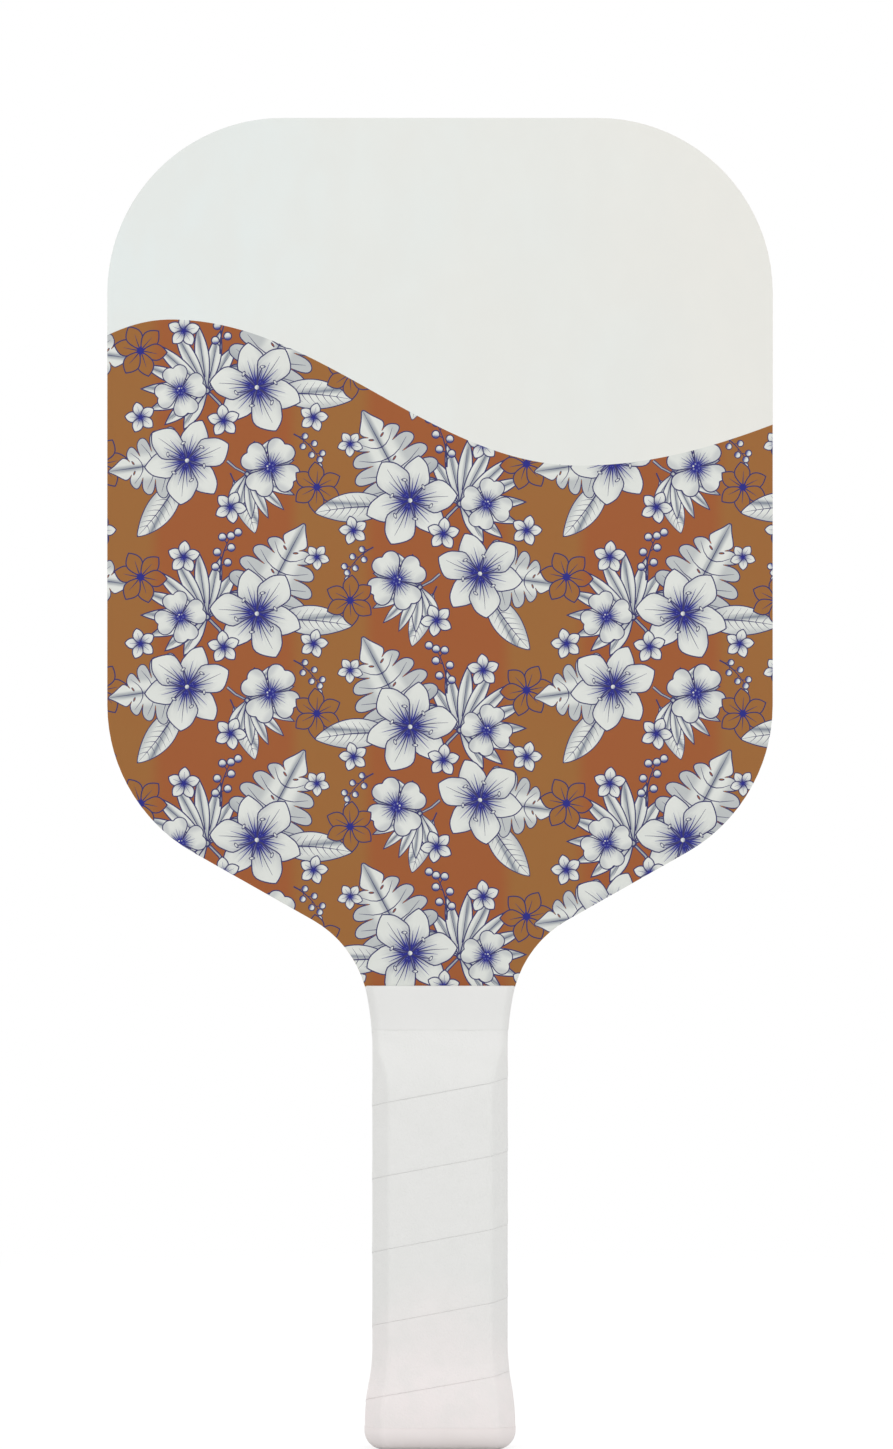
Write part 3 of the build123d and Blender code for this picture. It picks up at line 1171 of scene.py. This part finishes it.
def on_form(tree, form, value, spot):
    """A vector of the form's surface, at a spot on its map wrap."""
    wrap = attribute(tree, "wrap", "FLOAT_VECTOR")
    inputs = {"Mesh": form, "Value": value, "UV Map": wrap, "Sample UV": spot}
    return one_output(tree, "GeometryNodeSampleUVSurface", "Value", inputs, data_type="FLOAT_VECTOR")


def strip_depth(given, across, height, inside):
    """How far out of the form a point of the strip lies, from how far it is across the strip.

    The outer skin starts rounded and raised on the turn below, sinks to the form, and is tucked under the
    next turn. The inner skin rests on the turn below, then on the handle. Where the finishing tape covers
    it, the strip is pressed in.
    """
    raised = across.smooth(0.0, given["Edge Length"]) * given["Edge Height"]
    tucked = across.smooth(given["Pitch"], given["Pitch"] + given["Tuck Length"])
    rolled = across.smooth(given["Rounding Length"], 0.0)
    outer = -raised - tucked * given["Tuck"] - rolled * given["Rounding"]
    resting = across.smooth(given["Overlap"], given["Overlap"] + given["Resting Length"])
    inner = -(resting * (given["Wall"] - given["Edge Height"]) + given["Edge Height"])
    depth = outer * (-inside + 1.0) + inner * inside
    under_tape = height.smooth(given["Tape Start"], given["Tape Start"] + given["Tape Slope"])
    depth = depth - under_tape * given["Tape Depth"]
    return depth.math("MAXIMUM", -given["Wall"])


def wound_strip_tree(sizes):
    """Geometry Nodes that wind a strip round the incoming tube and up it, turn over turn.

    Its grid has stations along the strip. Its rows go across the outer skin and back over the inner one,
    and merging closes the strip.
    """
    tree = bpy.data.node_groups.new("wound_strip", "GeometryNodeTree")
    given = named_inputs(tree, sizes)
    tree.interface.new_socket("Strip", in_out="OUTPUT", socket_type="NodeSocketGeometry")
    last_row = given["Rows"] * 2.0 + 2.0
    counts = {"Vertices X": given["Stations"] + 1.0, "Vertices Y": last_row + 1.0}
    grid = add_node(tree, "GeometryNodeMeshGrid", {"Size X": 1.0, "Size Y": 1.0, **counts}).outputs
    along, over, _ = split(tree, Value(grid["UV Map"]))
    station = (along * given["Stations"]).math("ROUND")
    row = (over * last_row).math("ROUND")

    # Round the tube: whole turns, and how far round its turn this column is
    turn = ((station + 0.5) / given["Columns"]).math("FLOOR")
    column = station - turn * given["Columns"]
    sampled = {"Geometry": given["Form"], "Value": attribute(tree, "around", "FLOAT"), "Index": column}
    around = one_output(tree, "GeometryNodeSampleIndex", 0, sampled, data_type="FLOAT", domain="POINT")
    climb = (turn + around) * given["Pitch"]

    # Across the strip: from its lower edge to its upper one outside, and back inside
    inside = row.math("GREATER_THAN", given["Rows"]) * row.math("LESS_THAN", last_row)
    back = (last_row - 1.0 - row).math("MAXIMUM", 0.0)
    forth = row.math("MINIMUM", back) / given["Rows"]
    width = given["Pitch"] + given["Overlap"]
    upper = climb.math("MINIMUM", given["Height"])
    lower = (climb - width).math("MAXIMUM", 0.0).math("MINIMUM", upper)
    height = lower + (upper - lower) * forth.math("POWER", given["Row Easing"])
    depth = strip_depth(given, height - climb + width, height, inside)

    spot = one_output(tree, "ShaderNodeCombineXYZ", 0, {"X": around, "Y": height / given["Height"]})
    here = one_output(tree, "GeometryNodeInputPosition", 0)
    outward = on_form(tree, given["Form"], attribute(tree, "outward", "FLOAT_VECTOR"), spot)
    scaled = {0: outward, "Scale": depth * MM}
    offset = one_output(tree, "ShaderNodeVectorMath", "Vector", scaled, operation="SCALE")
    strip = Value(grid["Mesh"])
    steps = (
        ("SetPosition", {"Position": on_form(tree, given["Form"], here, spot), "Offset": offset}),
        ("MergeByDistance", {"Distance": given["Merging"] * MM}),
        ("SetShadeSmooth", {}),
        ("RealizeInstances", {}),
        ("SetMaterial", {"Material": given["Material"]}),
    )
    for kind, inputs in steps:
        strip = one_output(tree, f"GeometryNode{kind}", 0, {"Geometry": strip, **inputs})
    add_node(tree, "NodeGroupOutput", {"Strip": strip})
    return tree


def wound_grip(form, material):
    """Wind the grip strip round the sleeve, past its top by one width, and keep it as a plain mesh."""
    turns = (form.height + STRIP["Pitch"] + STRIP["Overlap"]) / STRIP["Pitch"]
    last_column = sum(share < turns % 1 for share in form.shares)
    sizes = {
        **STRIP,
        "Columns": form.columns,
        "Stations": int(turns) * form.columns + last_column,
        "Height": form.height,
        "Tape Start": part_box("finishing_tape")[0].z / MM - form.bottom + PRESS_START,
        "Tape Depth": TAPE_THICKNESS + TUCK,
    }
    tree = wound_strip_tree(sizes)
    holder = linked("grip_form", sleeve_mesh(form))
    winding = holder.modifiers.new("winding", "NODES")
    winding.node_group = tree
    for item in tree.interface.items_tree:
        if item.name in sizes:
            winding[item.identifier] = sizes[item.name]
        elif item.name == "Material":
            winding[item.identifier] = material
    evaluated = holder.evaluated_get(bpy.context.evaluated_depsgraph_get())
    mesh = bpy.data.meshes.new_from_object(evaluated)
    mesh.name = "wound_grip"
    bpy.data.objects.remove(holder)
    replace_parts(shown("wound_grip", mesh), "grip_wrap")


# Finishing tape and butt cap


def band_skin(form):
    """Rings that the finishing tape's skin follows, each with its height and whether it belongs to the lip.

    They run up the outside, over the top edge in to the board, and back down the inside.
    """
    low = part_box("finishing_tape")[0].z / MM
    top = form.top
    middle = [low + (top - low) * share for share in TAPE_ROWS]
    outside = [(low, TAPE_THICKNESS), (low, TAPE_ROUND), (low + TAPE_ROUND, 0.0)]
    outside += [(height, 0.0) for height in middle]
    outside += [(top - TAPE_ROUND, 0.0), (top + TAPE_THICKNESS, TAPE_ROUND)]
    skin = [(height, form.ring(height, inset), False) for height, inset in outside]
    over = top + 1.5 * TAPE_THICKNESS
    skin.append((over, form.ring(top, 4 * TAPE_ROUND), True))
    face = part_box("rear_print_film")[1].y / MM + LIP_GAP
    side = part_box("finishing_tape")[1].x / MM - TAPE_THICKNESS
    board = form.fitted(side, face, side + face, LIP_CORNER, LIP_CORNER / 2)
    skin += [(over, board, True), (top + LIP_GAP, board, True)]
    for height in (top + LIP_GAP, *reversed(middle)):
        skin.append((height, form.ring(height, TAPE_THICKNESS), False))
    return skin


def finishing_band(form, material):
    """Vinyl tape round the top of the grip, turned in to the board, whose free end lies over its start."""
    skin = band_skin(form)
    start = form.columns - form.parts[-1] // 2 - 1
    last = form.columns + TAPE_OVERLAP
    stations = []
    for station in range(last + 1):
        under = station <= TAPE_OVERLAP
        sunk = TAPE_THICKNESS + TUCK if under else 0.0
        if station == last:
            sunk = FREE_END_PRESSED * TAPE_THICKNESS
        line = []
        for height, ring_points, lip in skin:
            point, outward = ring_points[(start + station) % form.columns]
            if under and lip:
                height -= TAPE_THICKNESS / 3
            elif not lip:
                point -= sunk * outward
            line.append(level(point, height))
        stations.append(line)
    lofted("finishing_band", stations, material, "finishing_tape")


def moulded_cap(form, material):
    """Butt cap as one moulding: slot for the plug, rolled rim, shoulder, skirt and the seat inside."""
    side, front, top = (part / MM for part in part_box("butt_cap_plug")[1])
    recess = form.fitted(side, front, side + front, front - SLOT_FLAT, SLOT_FLAT / 2)
    skirt_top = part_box("butt_cap")[1].z / MM
    rings = [(top, recess), (0.0, recess)]
    for row in range(RIM_ROWS + 1):
        height = form.bottom * (1 - math.cos(math.pi / 2 * row / RIM_ROWS))
        rings.append((height, form.ring(height)))
    for share in SKIRT_ROWS:
        height = form.bottom + (skirt_top - form.bottom) * share
        rings.append((height, form.ring(height, WRAP_THICKNESS)))
    for share in SEAT_ROWS:
        height = CAP_FLOOR + (skirt_top - CAP_FLOOR) * share
        rings.append((height, form.ring(max(height, form.bottom), WRAP_THICKNESS + CAP_WALL)))
    places = []
    for height, ring_points in rings:
        places.append([level(point, height) for point, _ in reversed(ring_points)])
    lofted("moulded_cap", places, material, "butt_cap")


# CAD nodes that stay


def dress_nodes(material, *nodes):
    """Give CAD nodes their finish."""
    for node in nodes:
        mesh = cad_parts[node].data
        mesh.materials.clear()
        mesh.materials.append(material)


def dress_paddle():
    """Finishes of the board, the handle's inside, the fasteners, the cap and the tapes."""
    maple = (srgb(234, 214, 180), srgb(216, 188, 146), srgb(190, 156, 112))
    birch = (srgb(224, 196, 154), srgb(204, 170, 124), srgb(182, 144, 100))
    basswood = (srgb(230, 210, 174), srgb(212, 186, 144), srgb(186, 154, 112))
    veneer = wood_material("maple_veneer", *maple, grain="Z", phase=0.0)
    inner = wood_material("basswood_ply", *basswood, grain="Z", phase=0.31)
    cross = wood_material("birch_crossband", *birch, grain="X", phase=0.17)
    scales = wood_material("basswood_scale", *basswood, grain="Z", phase=0.53)
    cap = moulded_material("cap_plastic", srgb(245, 238, 237), srgb(241, 234, 232), 0.42)
    plug = moulded_material("plug_plastic", srgb(222, 217, 215), srgb(214, 209, 206), 0.45)
    vinyl = moulded_material("finishing_vinyl", srgb(232, 232, 230), srgb(229, 229, 227), 0.45)
    cushion = grip_material()
    dress_nodes(veneer, "front_face_veneer", "rear_face_veneer")
    dress_nodes(cross, "front_crossband", "rear_crossband", "core_ply")
    dress_nodes(inner, "front_inner_ply", "rear_inner_ply")
    dress_nodes(scales, "front_handle_scale", "rear_handle_scale")
    dress_nodes(cap, "butt_cap")
    dress_nodes(plug, "butt_cap_plug")
    dress_nodes(vinyl, "finishing_tape")
    dress_nodes(cushion, "grip_wrap")
    dress_nodes(tape_material(), "grip_base_tape")
    dress_nodes(steel_material(), "handle_brads", "butt_cap_tacks", "grip_start_staple")
    form = GripForm()
    wound_grip(form, cushion)
    finishing_band(form, vinyl)
    moulded_cap(form, cap)


# Stage


def white_world():
    """Even light from all round, which the camera and reflections see as plain white."""
    world = bpy.data.worlds.new("studio")
    world.use_nodes = True
    tree = world.node_tree
    tree.nodes.clear()
    path = add_node(tree, "ShaderNodeLightPath").outputs
    seen = Value(path["Is Camera Ray"]).math("MAXIMUM", Value(path["Is Glossy Ray"]))
    seen = seen.math("MAXIMUM", Value(path["Is Transmission Ray"]))
    light = {"Color": (1.0, 1.0, 1.0, 1.0), "Strength": seen * (1.0 - AMBIENT) + AMBIENT}
    background = one_output(tree, "ShaderNodeBackground", 0, light)
    add_node(tree, "ShaderNodeOutputWorld", {"Surface": background})
    bpy.context.scene.world = world


def soft_light(name, place, power):
    """Large square lamp aimed at the middle of the paddle."""
    data = bpy.data.lights.new(name, "AREA")
    data.energy = power
    data.size = LAMP_SIZE
    lamp = linked(name, data)
    lamp.location = place
    aim = Vector((0, 0, VIEW_CENTRE_Z * MM)) - lamp.location
    lamp.rotation_euler = aim.to_track_quat("-Z", "Y").to_euler()


def pale_floor():
    """White round floor that keeps a soft shadow and melts into the white world at its rim."""
    finish = Finish("pale_floor")
    finish.set(Base_Color=srgb(225, 225, 225), Roughness=0.9, Specular_IOR_Level=0.0)
    shade = finish.node("ShaderNodeBsdfDiffuse", 0, {"Color": srgb(150, 150, 150)})
    glow = finish.node("ShaderNodeEmission", 0, {"Strength": 0.75})
    bright = finish.node("ShaderNodeAddShader", 0, {0: shade, 1: glow})
    white = finish.node("ShaderNodeEmission", 0, {"Strength": 1.0})
    seen = finish.node("ShaderNodeLightPath", "Is Camera Ray")
    plain = Value(finish.shader.outputs[0])
    near = finish.node("ShaderNodeMixShader", 0, {0: seen, 1: plain, 2: bright})
    distance = finish.node("ShaderNodeVectorMath", "Value", {0: finish.place}, operation="LENGTH")
    far = finish.node("ShaderNodeMixShader", 0, {0: distance.smooth(0.35, 0.9), 1: near, 2: white})
    put(finish.tree, finish.tree.nodes["Material Output"].inputs["Surface"], far)
    edge = ring(0, FLOOR_RADIUS, FLOOR_CORNERS)
    mesh = bpy.data.meshes.new("floor")
    mesh.from_pydata([(point.real, point.imag, 0.0) for point in edge], [], [tuple(range(len(edge)))])
    mesh.materials.append(finish.material)
    linked("floor", mesh)


def studio():
    """World, lamps, floor, and a long lens looking straight at the front face."""
    white_world()
    pale_floor()
    for name, facing in (("", 1), ("back_", -1)):
        soft_light(f"{name}key_light", (-1.3 * facing, -2.2 * facing, 1.7), KEY_POWER)
        soft_light(f"{name}fill_light", (1.7 * facing, -2.0 * facing, 0.9), FILL_POWER)
    data = bpy.data.cameras.new("camera")
    data.lens = CAMERA_LENS
    data.sensor_fit = "VERTICAL"
    data.sensor_height = CAMERA_SENSOR
    data.clip_end = 50.0
    camera = linked("camera", data)
    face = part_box("front_print_film")[0].y
    distance = VIEW_HEIGHT * MM * CAMERA_LENS / CAMERA_SENSOR
    camera.location = (VIEW_CENTRE_X * MM, face - distance, VIEW_CENTRE_Z * MM)
    camera.rotation_euler = (math.pi / 2, 0.0, 0.0)
    bpy.context.scene.camera = camera
    bpy.context.scene.view_settings.view_transform = "Standard"


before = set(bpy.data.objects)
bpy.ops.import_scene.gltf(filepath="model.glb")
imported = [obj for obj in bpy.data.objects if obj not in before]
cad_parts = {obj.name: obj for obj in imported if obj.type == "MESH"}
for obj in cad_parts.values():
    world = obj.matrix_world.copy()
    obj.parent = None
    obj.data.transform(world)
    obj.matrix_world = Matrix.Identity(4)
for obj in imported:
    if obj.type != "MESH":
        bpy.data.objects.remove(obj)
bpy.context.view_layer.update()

dress_paddle()
print_faces()
studio()
